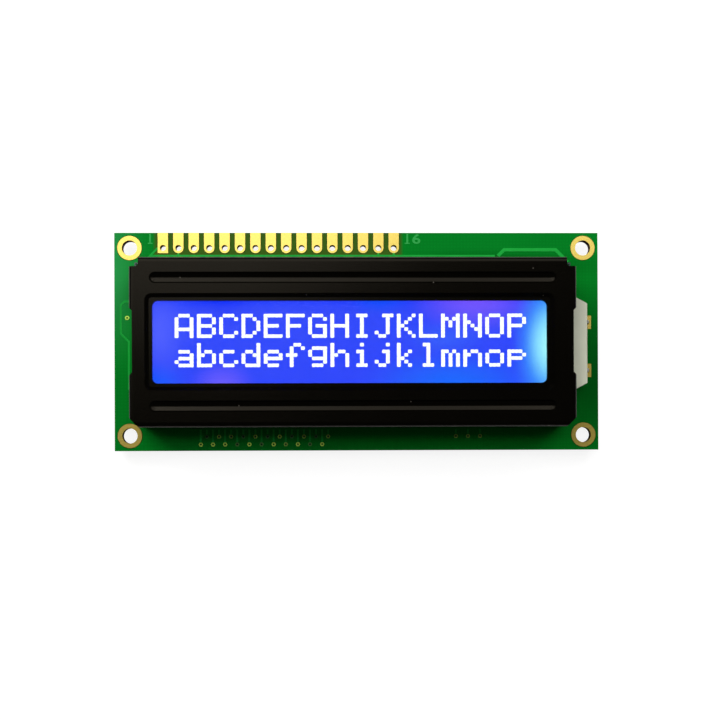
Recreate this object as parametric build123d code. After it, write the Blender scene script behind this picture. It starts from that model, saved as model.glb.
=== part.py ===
from build123d import *
import math
import os

# A two-row character display module, lying on its back with the display facing +Z and the header row along +Y.
# All sizes are in millimetres. The origin is the middle of the board's outline, on the plane that the tips of
# the bezel's twisted tabs rest on.

# Circuit board
board_length = 80.0
board_width = 36.0
board_thickness = 1.6
copper_thickness = 0.05
plating_wall = 0.05
overrun = 0.5

# Mounting holes, one in each corner
mounting_from_edge = 2.5
mounting_bore_radius = 1.25
mounting_ring_radius = 2.0

# Header: one row of plated holes, with pads that run out to the board's long edge
header_pins = 16
header_pitch = 2.54
header_first_from_left = 8.0
header_from_top = 2.5
header_bore_radius = 0.5
header_pad_width = 1.7

# Backlight connection: two plated holes beside the right-hand edge
backlight_pitch = 8.0
backlight_pads_y = -0.85
backlight_hole_from_right = 1.85
backlight_bore_radius = 0.4
backlight_pad_length = 1.4
backlight_pad_width = 2.2

# A small barrel's outside is many-sided, because it is hidden in the laminate
barrel_sides = 12

# Copper tracks under the green mask
track_thickness = 0.04
wide_track = 0.55
fine_track = 0.3
track_clearance = 0.25
front_track_gap = 1.3
front_track_pins = (1, 14, 15)
side_track_from_left = 1.05
side_track_jog = 1.3
side_track_small_jog = 0.6
side_track_share = 0.667
side_track_low_share = 0.06
side_track_end_share = 0.67
corner_track_share = 0.338
corner_track_inset = 1.0

# Small plated vias below the display
via_bore_radius = 0.17
via_ring_radius = 0.38
via_sides = 6
via_pitch = 2.0
via_stagger = 1.0
via_row_count = 11
via_first_x = -25.85
via_low_row_from_bottom = 1.05
via_row_gap = 1.28
spare_via_count = 3
spare_via_first_x = 16.3
test_via_from_left = 2.1
test_via_y = 3.97

# Pressed steel bezel. It and its window are placed by the borders that they leave.
sheet = 0.5
bezel_from_left = 3.55
bezel_from_right = 5.0
bezel_from_top = 5.1
bezel_from_bottom = 3.75
bend_radius = 0.8
window_left_border = 3.7
window_right_border = 4.75
window_long_border = 7.0
window_corner = 0.9
recess_margin = 1.15
recess_depth = 0.6
recess_corner = 1.1
recess_angle = 45.0
press_spread_share = 0.41
groove_from_end = 3.3
groove_width = 1.8
groove_depth = 0.45
groove_place_share = 0.572
groove_round_share = 0.499
groove_rim_share = 0.5
groove_rim_angle = 45.0
groove_floor_angle = 70.0
corner_notch = 1.55
notch_radius = 0.4
side_cutout_width = 10.9
side_cutout_depth = 0.55
side_cutout_y = -0.6

# Twisted tabs that hold the bezel to the board
tab_width = 2.0
tab_reach = 1.5
tab_shoulder = 0.15
tab_twist = 25.0
tab_slot_clearance = 0.05
tab_place_shares = (-0.36, -0.12, 0.12, 0.36)

# Display cell
glass_clearance = 0.3
glass_thickness = 1.1
cell_gap = 0.1
film_play = 0.02
contact_ledge = 2.4
seal_width = 1.0
seal_inset = 0.4
polariser_thickness = 0.2
adhesive_line = 0.02
front_polariser_margin = 1.8
fill_port_width = 3.0
fill_port_bulge = 0.15

# Elastomer contact strips
strip_end_margin = 0.5
strip_clearance = 0.3

# Edge-lit backlight
reflector_thickness = 0.2
guide_thickness = 3.5
diffuser_thickness = 0.3
film_clearance = 0.08
guide_side_clearance = 0.2
frame_side_clearance = 0.2
frame_wall = 2.1
frame_left_wall = 1.9
frame_right_wall = 0.9
led_gap = 0.2
led_depth = 0.8
led_length = 2.8
led_height = 1.6
led_cup_depth = 0.3
led_cup_wall = 0.25
led_pitch = 3.8
led_end_gap = 0.7
led_board_thickness = 1.0
led_board_end_gap = 1.8
led_board_lift = 0.2
led_board_headroom = 0.7
lug_root_width = 16.35
lug_tip_width = 12.9
lug_step = 0.3
lug_y = -0.65
lug_clearance = 0.2
lug_edge_chamfer = 0.25

# Backlight leads
lead_width = 0.5
lead_thickness = 0.3
lead_level = 1.2
lead_bend_radius = 0.35
lead_tail = 0.8
lead_clearance = 0.1
solder_radius = 0.75
solder_height = 0.65
solder_course_shares = ((0, 1), (0.1, 1), (1, 0.58))
solder_sides = 8

# Sealed chips under epoxy, on the back
controller_blob_radius = 8.0
driver_blob_radius = 7.0
blob_ground_gap = 0.2
blob_sides = 20
blob_course_shares = ((0, 1), (0.25, 1), (0.8, 0.77), (1, 0.4))
controller_blob_x = -17.0
driver_blob_x = 14.5
blob_y = -1.0

# Surface-mount parts on the back
chip_length = 2.0
chip_width = 1.25
resistor_height = 0.5
capacitor_height = 0.85
terminal_length = 0.4
chip_lift = 0.04
chip_pitch = 3.3
resistor_column_gap = 7.8
resistor_column_count = 5
side_chip_gap = 7.0
side_chip_count = 3
capacitor_gap = 4.5
capacitor_count = 2

# Levels, from the resting plane up
board_bottom = tab_reach
board_top = board_bottom + board_thickness
backlight_height = (
    reflector_thickness + guide_thickness + diffuser_thickness
    + film_clearance + polariser_thickness + adhesive_line
)
rear_glass_bottom = board_top + backlight_height
rear_glass_top = rear_glass_bottom + glass_thickness
front_glass_bottom = rear_glass_top + cell_gap
front_glass_top = front_glass_bottom + glass_thickness
front_polariser_bottom = front_glass_top + adhesive_line
front_polariser_top = front_polariser_bottom + polariser_thickness
lip_top = front_polariser_top + sheet
bezel_face = lip_top + recess_depth
lug_height = backlight_height - lug_step
led_board_height = backlight_height - led_board_lift - led_board_headroom
blob_height = tab_reach - blob_ground_gap

# Places that several pieces share
bezel_left = bezel_from_left - board_length / 2
bezel_right = board_length / 2 - bezel_from_right
bezel_top = board_width / 2 - bezel_from_top
bezel_bottom = bezel_from_bottom - board_width / 2
bezel_length = bezel_right - bezel_left
bezel_width = bezel_top - bezel_bottom
bezel_x = (bezel_left + bezel_right) / 2
bezel_y = (bezel_top + bezel_bottom) / 2
window_length = bezel_length - window_left_border - window_right_border
window_width = bezel_width - 2 * window_long_border
window_x = bezel_x + (window_left_border - window_right_border) / 2
groove_length = bezel_length - 2 * groove_from_end
groove_offset = bezel_width / 2 - groove_place_share * (window_long_border - recess_margin)
glass_length = bezel_length - 2 * (sheet + glass_clearance)
front_glass_width = bezel_width - 2 * (sheet + glass_clearance)
rear_glass_width = front_glass_width - 2 * contact_ledge
glass_left = bezel_x - glass_length / 2
glass_right = bezel_x + glass_length / 2
frame_width = rear_glass_width - 2 * frame_side_clearance
pocket_width = frame_width - 2 * frame_wall
pocket_left = glass_left + frame_left_wall
pocket_right = glass_right - frame_right_wall
led_board_x = pocket_right - led_board_thickness
led_face_x = led_board_x - led_depth
guide_left = pocket_left + guide_side_clearance
guide_right = led_face_x - led_gap
guide_width = pocket_width - 2 * guide_side_clearance
led_board_length = pocket_width - 2 * led_board_end_gap
led_count = 1 + int((led_board_length - led_length - 2 * led_end_gap) / led_pitch)
strip_width = contact_ledge - 2 * strip_clearance
header_y = board_width / 2 - header_from_top
backlight_hole_x = board_length / 2 - backlight_hole_from_right
lug_tip_x = backlight_hole_x - backlight_pad_length / 2
wall_centre = bezel_width / 2 - sheet / 2
resistor_column_x = controller_blob_x + controller_blob_radius + resistor_column_gap
side_chip_x = driver_blob_x + driver_blob_radius + side_chip_gap
capacitor_x = controller_blob_x - controller_blob_radius - capacitor_gap


def block(low, high):
    """A rectangular solid between two opposite corners."""
    size = [far - near for near, far in zip(low, high)]
    middle = [(far + near) / 2 for near, far in zip(low, high)]
    return Pos(*middle) * Box(*size)


def level_extrude(outline, level, height, taper=0.0):
    """An outline in plan, raised from a level, or sunk from it where the height is negative."""
    placed = Plane.XY.offset(level) * outline
    return extrude(placed, amount=abs(height), dir=(0, 0, math.copysign(1, height)), taper=taper)


def upright_hole(x, y, radius, low, high):
    """A round cutter on a vertical axis."""
    return Pos(x, y, (low + high) / 2) * Cylinder(radius, high - low)


def upright_prism(x, y, radius, sides, low, high):
    """A many-sided column on a vertical axis."""
    return level_extrude(Pos(x, y) * RegularPolygon(radius, sides), low, high - low)


def mounting_places():
    """Centres of the four corner holes."""
    return [
        (side_x * (board_length / 2 - mounting_from_edge), side_y * (board_width / 2 - mounting_from_edge))
        for side_x in (-1, 1)
        for side_y in (-1, 1)
    ]


def header_places():
    """Centres of the header holes, from the left."""
    first = header_first_from_left - board_length / 2
    return [(first + index * header_pitch, header_y) for index in range(header_pins)]


def backlight_places():
    """Centres of the anode and cathode holes."""
    return [
        (backlight_hole_x, backlight_pads_y + backlight_pitch / 2),
        (backlight_hole_x, backlight_pads_y - backlight_pitch / 2),
    ]


def signal_via_places():
    """Two staggered rows of vias under the bezel's lower wall."""
    low_y = via_low_row_from_bottom - board_width / 2
    low_row = [(via_first_x + index * via_pitch, low_y) for index in range(via_row_count)]
    high_row = [(x + via_stagger, low_y + via_row_gap) for x, _ in low_row]
    return low_row + high_row


def spare_via_places():
    """A short group of vias further along the same edge."""
    y = via_low_row_from_bottom - board_width / 2 + via_row_gap
    return [(spare_via_first_x + index * via_pitch, y) for index in range(spare_via_count)]


def all_via_places():
    """Every small via, with the test via beside the left-hand edge."""
    test_via = (test_via_from_left - board_length / 2, test_via_y)
    return signal_via_places() + spare_via_places() + [test_via]


def tab_places():
    """Centres of the bezel's tabs, which are also those of the board's slots."""
    return [
        (bezel_x + share * bezel_length, bezel_y + side * wall_centre)
        for share in tab_place_shares
        for side in (-1, 1)
    ]


def circuit_board():
    """Glass-fibre board, drilled for every plated hole and slotted for the bezel's tabs."""
    board = level_extrude(Rectangle(board_length, board_width), board_bottom, board_thickness)
    low = board_bottom - overrun
    high = board_top + overrun
    for x, y in mounting_places():
        board -= upright_hole(x, y, mounting_bore_radius + plating_wall, low, high)
    for x, y in header_places():
        board -= upright_prism(x, y, header_bore_radius + plating_wall, barrel_sides, low, high)
    for x, y in backlight_places():
        board -= upright_prism(x, y, backlight_bore_radius + plating_wall, barrel_sides, low, high)
    slot = Rectangle(tab_width + 2 * tab_slot_clearance, sheet + 2 * tab_slot_clearance)
    for x, y in tab_places():
        board -= level_extrude(Pos(x, y) * slot, low, high - low)
    return board


def plated_hole(x, y, bore, barrel, upper_pad, lower_pad):
    """A plated barrel through the board, with a pad of its own outline on each side."""
    upper = level_extrude(upper_pad, board_top, copper_thickness)
    lower = level_extrude(lower_pad, board_bottom, -copper_thickness)
    through = upright_hole(x, y, bore, board_bottom - overrun, board_top + overrun)
    return upper + barrel + lower - through


def small_barrel(x, y, bore):
    """The barrel of a header or backlight hole, as it sits in the laminate."""
    return upright_prism(x, y, bore + plating_wall, barrel_sides, board_bottom, board_top)


def mounting_rings():
    """Plated corner holes, with a broad ring on each side."""
    rings = []
    for x, y in mounting_places():
        barrel = upright_hole(x, y, mounting_bore_radius + plating_wall, board_bottom, board_top)
        ring = Pos(x, y) * Circle(mounting_ring_radius)
        rings.append(plated_hole(x, y, mounting_bore_radius, barrel, ring, ring))
    return rings


def signal_vias():
    """Rings of the small vias on the display side. The mask fills their bores."""
    ring = RegularPolygon(via_ring_radius, via_sides) - RegularPolygon(via_bore_radius, via_sides)
    return [level_extrude(Pos(x, y) * ring, board_top, copper_thickness) for x, y in all_via_places()]


def header_pad_outline(x, y, square_end):
    """A pad that runs from its hole out to the board's edge, with a round or a square inner end."""
    run = board_width / 2 - y
    strip = Pos(x, y + run / 2) * Rectangle(header_pad_width, run)
    if square_end:
        return strip + Pos(x, y) * Rectangle(header_pad_width, header_pad_width)
    return strip + Pos(x, y) * Circle(header_pad_width / 2)


def header_pads():
    """The header's plated holes. On the display side only the first pad has a square end; on the back all have."""
    pads = []
    for index, (x, y) in enumerate(header_places()):
        barrel = small_barrel(x, y, header_bore_radius)
        upper = header_pad_outline(x, y, index == 0)
        lower = header_pad_outline(x, y, True)
        pads.append(plated_hole(x, y, header_bore_radius, barrel, upper, lower))
    return pads


def backlight_pads():
    """Anode and cathode pads of the backlight."""
    pads = []
    for x, y in backlight_places():
        outline = Pos(x, y) * Rectangle(backlight_pad_length, backlight_pad_width)
        barrel = small_barrel(x, y, backlight_bore_radius)
        pads.append(plated_hole(x, y, backlight_bore_radius, barrel, outline, outline))
    return pads


def track(points, width, level, side):
    """A flat copper track along a run of points, on the upper (1) or lower (-1) side of the board."""
    return level_extrude(trace(Polyline(*points), width), level, side * track_thickness)


def front_tracks():
    """Tracks that show beside the bezel on the display side."""
    places = header_places()
    first_x, first_y = places[0]
    pad_left = first_x - header_pad_width / 2
    front_y = bezel_top + front_track_gap
    drop = first_y - front_y
    start_x = bezel_x + bezel_length * corner_track_share
    front_run = [(pad_left, first_y), (pad_left - drop, front_y), (start_x - wide_track, front_y)]
    tracks = [track(front_run, fine_track, board_top, 1)]
    for x, y in [places[index] for index in front_track_pins]:
        stub = [(x, y - header_pad_width / 2), (x, front_y + fine_track / 2)]
        tracks.append(track(stub, fine_track, board_top, 1))

    edge_x = side_track_from_left - board_length / 2
    inner_x = edge_x + side_track_jog
    upper_y = side_cutout_y + side_cutout_width * side_track_share
    lower_y = side_cutout_y + side_cutout_width * side_track_low_share
    left_run = [
        (bezel_left - track_clearance, upper_y),
        (edge_x + side_track_small_jog, upper_y),
        (edge_x, upper_y - side_track_small_jog),
        (edge_x, lower_y + side_track_jog),
        (inner_x, lower_y),
        (inner_x, side_cutout_y - side_cutout_width * side_track_end_share),
    ]
    tracks.append(track(left_run, fine_track, board_top, 1))

    corner_y = header_y - fine_track
    rise = corner_y - front_y
    turn_x = bezel_right - corner_track_inset
    corner_run = [
        (start_x, front_y),
        (start_x + rise, corner_y),
        (turn_x - rise, corner_y),
        (turn_x, front_y),
        (bezel_right, bezel_top + track_clearance),
    ]
    tracks.append(track(corner_run, wide_track, board_top, 1))

    wall_back = bezel_bottom - track_clearance
    for x, y in signal_via_places() + spare_via_places():
        run = [(x, y + via_ring_radius), (x, wall_back)]
        tracks.append(track(run, fine_track, board_top, 1))
    return tracks


def pressing(length, width, corner, centre, top, courses):
    """The form that a press tool leaves in sheet. Each course has its depth and its wall's angle from upright."""
    plug = []
    level = top
    inset = 0
    for depth, angle in courses:
        outline = RectangleRounded(length - 2 * inset, width - 2 * inset, corner - inset)
        plug.append(level_extrude(Pos(*centre) * outline, level, -depth, taper=angle))
        inset += depth * math.tan(math.radians(angle))
        level -= depth
    return plug


def bezel_shell():
    """Drawn sheet cover: a plate with four walls bent down at a constant thickness."""
    cover_height = bezel_face - board_top
    outer = level_extrude(Pos(bezel_x, bezel_y) * Rectangle(bezel_length, bezel_width), board_top, cover_height)
    outer = fillet(outer.edges().group_by(Axis.Z)[-1], bend_radius)
    hollow = Rectangle(bezel_length - 2 * sheet, bezel_width - 2 * sheet)
    inner = level_extrude(Pos(bezel_x, bezel_y) * hollow, board_top, cover_height - sheet)
    inner = fillet(inner.edges().group_by(Axis.Z)[-1], bend_radius - sheet)
    return outer - inner


def press_features(shell):
    """Stiffening grooves above and below the window, and the window's sunken lip."""
    spread = 2 * press_spread_share * sheet
    under = bezel_face - sheet
    groove_corner = groove_width * groove_round_share
    rim_depth = groove_depth * groove_rim_share
    groove_courses = [(rim_depth, groove_rim_angle), (groove_depth - rim_depth, groove_floor_angle)]
    features = [
        (groove_length, groove_width, groove_corner, (bezel_x, bezel_y + side * groove_offset), groove_courses)
        for side in (-1, 1)
    ]
    lip_length = window_length + 2 * recess_margin
    lip_width = window_width + 2 * recess_margin
    lip_courses = [(recess_depth, recess_angle)]
    features.append((lip_length, lip_width, recess_corner, (window_x, bezel_y), lip_courses))
    for length, width, corner, centre, courses in features:
        for course in pressing(length + spread, width + spread, corner + spread / 2, centre, under, courses):
            shell += course
    for length, width, corner, centre, courses in features:
        for course in pressing(length, width, corner, centre, bezel_face, courses):
            shell -= course
    window = Pos(window_x, bezel_y) * RectangleRounded(window_length, window_width, window_corner)
    return shell - level_extrude(window, board_top, bezel_face - board_top)


def corner_reliefs():
    """Cutters that open the cover's corners: square at the header side, sloped at the other side."""
    height = bezel_face - board_top + 2 * overrun
    reliefs = []
    for side in (-1, 1):
        x = bezel_x + side * bezel_length / 2
        square = RectangleRounded(2 * corner_notch, 2 * corner_notch, notch_radius)
        reliefs.append(level_extrude(Pos(x, bezel_top) * square, board_top - overrun, height))
        slope = Polyline((x, bezel_bottom + corner_notch), (x - side * corner_notch, bezel_bottom),
                         (x - side * corner_notch, bezel_bottom - corner_notch),
                         (x + side * corner_notch, bezel_bottom - corner_notch),
                         (x + side * corner_notch, bezel_bottom + corner_notch), close=True)
        reliefs.append(level_extrude(make_face(slope), board_top - overrun, height))
    return reliefs


def side_cutouts():
    """Cutters through both short walls, which also bite into the edge of the plate."""
    height = bezel_face - board_top + 2 * overrun
    cutters = []
    for side in (-1, 1):
        wall_x = bezel_x + side * bezel_length / 2
        inner_x = wall_x - side * side_cutout_depth
        outer_x = wall_x + side * side_cutout_depth
        half = side_cutout_width / 2
        outline = Polyline((outer_x, side_cutout_y - half), (wall_x, side_cutout_y - half),
                           (inner_x, side_cutout_y - half + side_cutout_depth),
                           (inner_x, side_cutout_y + half - side_cutout_depth),
                           (wall_x, side_cutout_y + half), (outer_x, side_cutout_y + half), close=True)
        cutters.append(level_extrude(make_face(outline), board_top - overrun, height))
    return cutters


def lug_opening():
    """Cutter for the gap in the right-hand wall that the backlight's lug passes through."""
    half = lug_root_width / 2 + lug_clearance
    low = (bezel_right - sheet - lug_clearance, lug_y - half, board_top - overrun)
    high = (bezel_right + overrun, lug_y + half, board_top + lug_height + lug_clearance)
    return block(low, high)


def twisted_tab(x, y):
    """A tab that drops through its slot and is twisted behind the board, so that it can't draw back."""
    shoulder_level = board_bottom - tab_shoulder
    section = Rectangle(tab_width, sheet)
    stem = level_extrude(Pos(x, y) * section, shoulder_level, board_top - shoulder_level)
    twisted = loft([Pos(x, y, shoulder_level) * section, Pos(x, y, 0) * Rot(0, 0, tab_twist) * section], ruled=True)
    return stem + twisted


def bezel():
    """Black steel cover with its window, grooves, open corners, side cut-outs and twisted tabs."""
    cover = press_features(bezel_shell())
    for cutter in corner_reliefs() + side_cutouts() + [lug_opening()]:
        cover -= cutter
    for x, y in tab_places():
        cover += twisted_tab(x, y)
    return cover


def glass_plate(width, bottom):
    """A cut plate of display glass."""
    low = (glass_left, bezel_y - width / 2, bottom)
    high = (glass_right, bezel_y + width / 2, bottom + glass_thickness)
    return block(low, high)


def cell_seal():
    """Printed ring of sealant between the two glasses."""
    length = glass_length - 2 * seal_inset
    width = rear_glass_width - 2 * seal_inset
    ring = Rectangle(length, width) - Rectangle(length - 2 * seal_width, width - 2 * seal_width)
    return level_extrude(Pos(bezel_x, bezel_y) * ring, rear_glass_top, cell_gap)


def liquid_crystal_film():
    """The liquid crystal that fills the sealed gap."""
    length = glass_length - 2 * (seal_inset + seal_width)
    width = rear_glass_width - 2 * (seal_inset + seal_width)
    film = Pos(bezel_x, bezel_y) * Rectangle(length, width)
    return level_extrude(film, rear_glass_top, cell_gap - film_play)


def polariser(bottom, length, width):
    """A polarising film, centred on the window."""
    return level_extrude(Pos(window_x, bezel_y) * Rectangle(length, width), bottom, polariser_thickness)


def front_polariser():
    """Front film, which the window's lip presses on."""
    length = window_length + 2 * front_polariser_margin
    return polariser(front_polariser_bottom, length, window_width + 2 * front_polariser_margin)


def rear_polariser():
    """Rear film, which fits inside the backlight frame's rim."""
    bottom = rear_glass_bottom - adhesive_line - polariser_thickness
    return polariser(bottom, guide_right - guide_left, guide_width)


def fill_port_plug():
    """Drop of cured resin on the cell's left-hand edge, where the cell was filled."""
    half = fill_port_width / 2
    outline = Polyline((0, -half), (0, half), (-fill_port_bulge, half - fill_port_bulge),
                       (-fill_port_bulge, fill_port_bulge - half), close=True)
    drop = Pos(glass_left, bezel_y) * make_face(outline)
    return level_extrude(drop, rear_glass_bottom, front_glass_top - rear_glass_bottom)


def contact_strip(side):
    """Rubber strip of conducting layers, which joins the board to the front glass's contact ledge."""
    ledge_centre = bezel_y + side * (front_glass_width / 2 - contact_ledge / 2)
    half_length = window_length / 2 + strip_end_margin
    low = (window_x - half_length, ledge_centre - strip_width / 2, board_top)
    high = (window_x + half_length, ledge_centre + strip_width / 2, front_glass_bottom)
    return block(low, high)


def film_in_pocket(bottom, thickness):
    """A film as large as the light guide."""
    low = (guide_left, bezel_y - guide_width / 2, bottom)
    high = (guide_right, bezel_y + guide_width / 2, bottom + thickness)
    return block(low, high)


def light_guide():
    """Clear acrylic plate that spreads light from its right-hand end."""
    return film_in_pocket(board_top + reflector_thickness, guide_thickness)


def diffuser_film():
    """Milky film on the light guide."""
    return film_in_pocket(board_top + reflector_thickness + guide_thickness, diffuser_thickness)


def reflector_film():
    """White film under the light guide."""
    return film_in_pocket(board_top, reflector_thickness)


def lead_profile():
    """Side view of a bent lead: out of the lug, then down through the board."""
    level = board_top + lead_level
    tail_end = board_bottom - lead_tail
    centre_line = FilletPolyline(
        (pocket_right, level), (backlight_hole_x, level), (backlight_hole_x, tail_end), radius=lead_bend_radius
    )
    return trace(centre_line, lead_thickness)


def backlight_lead(place):
    """A flat lead from the LED board to its plated hole."""
    profile = Plane.XZ * lead_profile()
    lead = extrude(profile, amount=lead_width / 2, both=True)
    return Pos(0, place[1], 0) * lead


def lead_channel(place):
    """The channel that a lead runs through inside the lug."""
    half_width = lead_width / 2 + lead_clearance
    half_height = lead_thickness / 2 + lead_clearance
    level = board_top + lead_level
    low = (pocket_right - overrun, place[1] - half_width, level - half_height)
    high = (lug_tip_x + overrun, place[1] + half_width, level + half_height)
    return block(low, high)


def backlight_lug():
    """The part of the frame that reaches out through the bezel's right-hand wall, with sloped corners."""
    root = lug_root_width / 2
    tip = lug_tip_width / 2
    outline = Polyline((pocket_right, lug_y - root), (glass_right, lug_y - root), (lug_tip_x, lug_y - tip),
                       (lug_tip_x, lug_y + tip), (glass_right, lug_y + root), (pocket_right, lug_y + root), close=True)
    lug = level_extrude(make_face(outline), board_top, lug_height)
    end_edges = lug.edges().group_by(Axis.Z)[-1].filter_by(Axis.Y).group_by(Axis.X)[-1]
    return chamfer(end_edges, lug_edge_chamfer)


def backlight_frame():
    """White moulded frame that holds the light guide and the LED board, and carries the display cell."""
    low = (glass_left, bezel_y - frame_width / 2, board_top)
    high = (glass_right, bezel_y + frame_width / 2, board_top + backlight_height)
    frame = block(low, high) + backlight_lug()
    pocket_low = (pocket_left, bezel_y - pocket_width / 2, board_top - overrun)
    pocket_high = (pocket_right, bezel_y + pocket_width / 2, board_top + backlight_height + overrun)
    frame -= block(pocket_low, pocket_high)
    for place in backlight_places():
        frame -= lead_channel(place)
    return frame


def led_board():
    """Narrow upright board at the pocket's right-hand end."""
    bottom = board_top + led_board_lift
    low = (led_board_x, lug_y - led_board_length / 2, bottom)
    high = (led_board_x + led_board_thickness, lug_y + led_board_length / 2, bottom + led_board_height)
    return block(low, high)


def side_leds():
    """White LEDs that shine into the end of the light guide, each with a shallow cup."""
    centre_level = board_top + reflector_thickness + guide_thickness / 2
    leds = []
    for index in range(led_count):
        y = lug_y + (index - (led_count - 1) / 2) * led_pitch
        body = Pos(led_face_x + led_depth / 2, y, centre_level) * Box(led_depth, led_length, led_height)
        cup = Box(led_cup_depth, led_length - 2 * led_cup_wall, led_height - 2 * led_cup_wall)
        leds.append(body - Pos(led_face_x + led_cup_depth / 2, y, centre_level) * cup)
    return leds


def faceted_dome(x, y, radius, sides, base, height, courses):
    """A many-sided dome under a level. Each course's end is given as shares of its height and radius."""
    rings = []
    for height_share, radius_share in courses:
        turns = [index * 2 * math.pi / sides for index in range(sides)]
        reach = radius * radius_share
        level = base - height * height_share
        rings.append([(x + reach * math.cos(turn), y + reach * math.sin(turn), level) for turn in turns])
    outlines = [rings[0], rings[-1]]
    for upper, lower in zip(rings, rings[1:]):
        outlines += [(upper[i - 1], upper[i], lower[i], lower[i - 1]) for i in range(sides)]
    return Solid(Shell([make_face(Polyline(*outline, close=True)) for outline in outlines]))


def epoxy_blob(x, radius):
    """Dome of black epoxy over a bonded chip, on the back of the board."""
    return faceted_dome(x, blob_y, radius, blob_sides, board_bottom, blob_height, blob_course_shares)


def lead_solder():
    """Solder cones round the leads, on the back of the board."""
    level = board_bottom - copper_thickness
    joints = []
    for x, y in backlight_places():
        cone = faceted_dome(x, y, solder_radius, solder_sides, level, solder_height, solder_course_shares)
        low = (x - lead_thickness / 2, y - lead_width / 2, level - solder_height)
        high = (x + lead_thickness / 2, y + lead_width / 2, level)
        joints.append(cone - block(low, high))
    return joints


def chip_places():
    """Place and height of each small surface-mount part: resistors first, then capacitors."""
    column = [
        (resistor_column_x, blob_y + (index - (resistor_column_count - 1) / 2) * chip_pitch)
        for index in range(resistor_column_count)
    ]
    side = [
        (side_chip_x, blob_y + (index - (side_chip_count - 1) / 2) * chip_pitch)
        for index in range(side_chip_count)
    ]
    capacitors = [
        (capacitor_x, blob_y + (index - (capacitor_count - 1) / 2) * chip_pitch)
        for index in range(capacitor_count)
    ]
    return column + side, capacitors


def chip_bodies(places, height):
    """Ceramic bodies, between their end terminals."""
    body_length = chip_length - 2 * terminal_length
    top = board_bottom - chip_lift
    return [
        block((x - body_length / 2, y - chip_width / 2, top - height), (x + body_length / 2, y + chip_width / 2, top))
        for x, y in places
    ]


def chip_terminals():
    """Tinned end caps of every surface-mount part, soldered to the board."""
    resistors, capacitors = chip_places()
    caps = []
    for places, height in ((resistors, resistor_height), (capacitors, capacitor_height)):
        for x, y in places:
            for side in (-1, 1):
                near = x + side * (chip_length / 2 - terminal_length)
                far = x + side * chip_length / 2
                low = (min(near, far), y - chip_width / 2, board_bottom - chip_lift - height)
                high = (max(near, far), y + chip_width / 2, board_bottom)
                caps.append(block(low, high))
    return caps


def write(name, pieces):
    """Writes one node, which may be a group of separate solids."""
    solids = pieces if isinstance(pieces, list) else [pieces]
    export_step(Compound(children=solids), os.path.join("parts", name + ".step"))


def main():
    os.makedirs("parts", exist_ok=True)
    resistors, capacitors = chip_places()
    anode, cathode = backlight_places()
    write("circuit_board", circuit_board())
    write("front_tracks", front_tracks())
    write("header_pads", header_pads())
    write("mounting_rings", mounting_rings())
    write("signal_vias", signal_vias())
    write("backlight_pads", backlight_pads())
    write("bezel", bezel())
    write("front_polariser", front_polariser())
    write("front_glass", glass_plate(front_glass_width, front_glass_bottom))
    write("liquid_crystal_film", liquid_crystal_film())
    write("cell_seal", cell_seal())
    write("rear_glass", glass_plate(rear_glass_width, rear_glass_bottom))
    write("rear_polariser", rear_polariser())
    write("fill_port_plug", fill_port_plug())
    write("upper_contact_strip", contact_strip(1))
    write("lower_contact_strip", contact_strip(-1))
    write("diffuser_film", diffuser_film())
    write("light_guide", light_guide())
    write("reflector_film", reflector_film())
    write("backlight_frame", backlight_frame())
    write("led_board", led_board())
    write("side_leds", side_leds())
    write("anode_lead", backlight_lead(anode))
    write("cathode_lead", backlight_lead(cathode))
    write("lead_solder", lead_solder())
    write("controller_blob", epoxy_blob(controller_blob_x, controller_blob_radius))
    write("driver_blob", epoxy_blob(driver_blob_x, driver_blob_radius))
    write("chip_resistors", chip_bodies(resistors, resistor_height))
    write("chip_capacitors", chip_bodies(capacitors, capacitor_height))
    write("chip_terminals", chip_terminals())


if __name__ == "__main__":
    main()
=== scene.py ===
# %% [markdown]
# A character LCD module, dressed for its portrait. The CAD model gives every solid at its real place, in
# metres. This lesson gives each solid the finish of the real one, adds the small things that are too fine
# for CAD, and sets up a plain white table with soft lamps. Each step first says in a few sentences what the
# real thing is and why the step is done this way, and then gives the code.
#
# The first step loads the CAD model and keeps its box, because the dressed model has to stay the same size.

# %% Load the CAD model
import math
import bpy
from mathutils import Matrix, Vector


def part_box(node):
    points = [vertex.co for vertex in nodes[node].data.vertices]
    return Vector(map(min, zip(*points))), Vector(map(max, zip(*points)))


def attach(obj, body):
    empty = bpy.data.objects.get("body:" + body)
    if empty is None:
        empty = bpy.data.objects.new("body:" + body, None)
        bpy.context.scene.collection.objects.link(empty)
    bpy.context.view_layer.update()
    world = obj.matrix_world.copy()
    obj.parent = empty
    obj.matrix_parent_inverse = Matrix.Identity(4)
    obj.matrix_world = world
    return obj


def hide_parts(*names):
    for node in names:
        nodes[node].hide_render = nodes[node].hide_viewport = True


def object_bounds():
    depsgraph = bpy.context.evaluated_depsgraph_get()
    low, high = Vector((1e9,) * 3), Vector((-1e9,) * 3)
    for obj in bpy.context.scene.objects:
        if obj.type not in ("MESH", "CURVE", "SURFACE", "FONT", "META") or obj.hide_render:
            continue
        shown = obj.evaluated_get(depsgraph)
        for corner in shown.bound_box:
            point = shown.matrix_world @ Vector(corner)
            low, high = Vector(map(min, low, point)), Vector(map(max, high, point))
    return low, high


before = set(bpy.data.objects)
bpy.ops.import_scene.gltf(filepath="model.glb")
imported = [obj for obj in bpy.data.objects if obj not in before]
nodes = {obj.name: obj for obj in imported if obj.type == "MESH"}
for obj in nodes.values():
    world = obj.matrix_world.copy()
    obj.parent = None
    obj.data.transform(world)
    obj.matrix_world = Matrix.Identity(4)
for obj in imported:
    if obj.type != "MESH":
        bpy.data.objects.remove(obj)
cad_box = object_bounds()
mm = 0.001
cad_size_mm = [round(side / mm, 2) for side in cad_box[1] - cad_box[0]]
print("CAD nodes:", len(nodes), "box in mm:", cad_size_mm)

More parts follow.
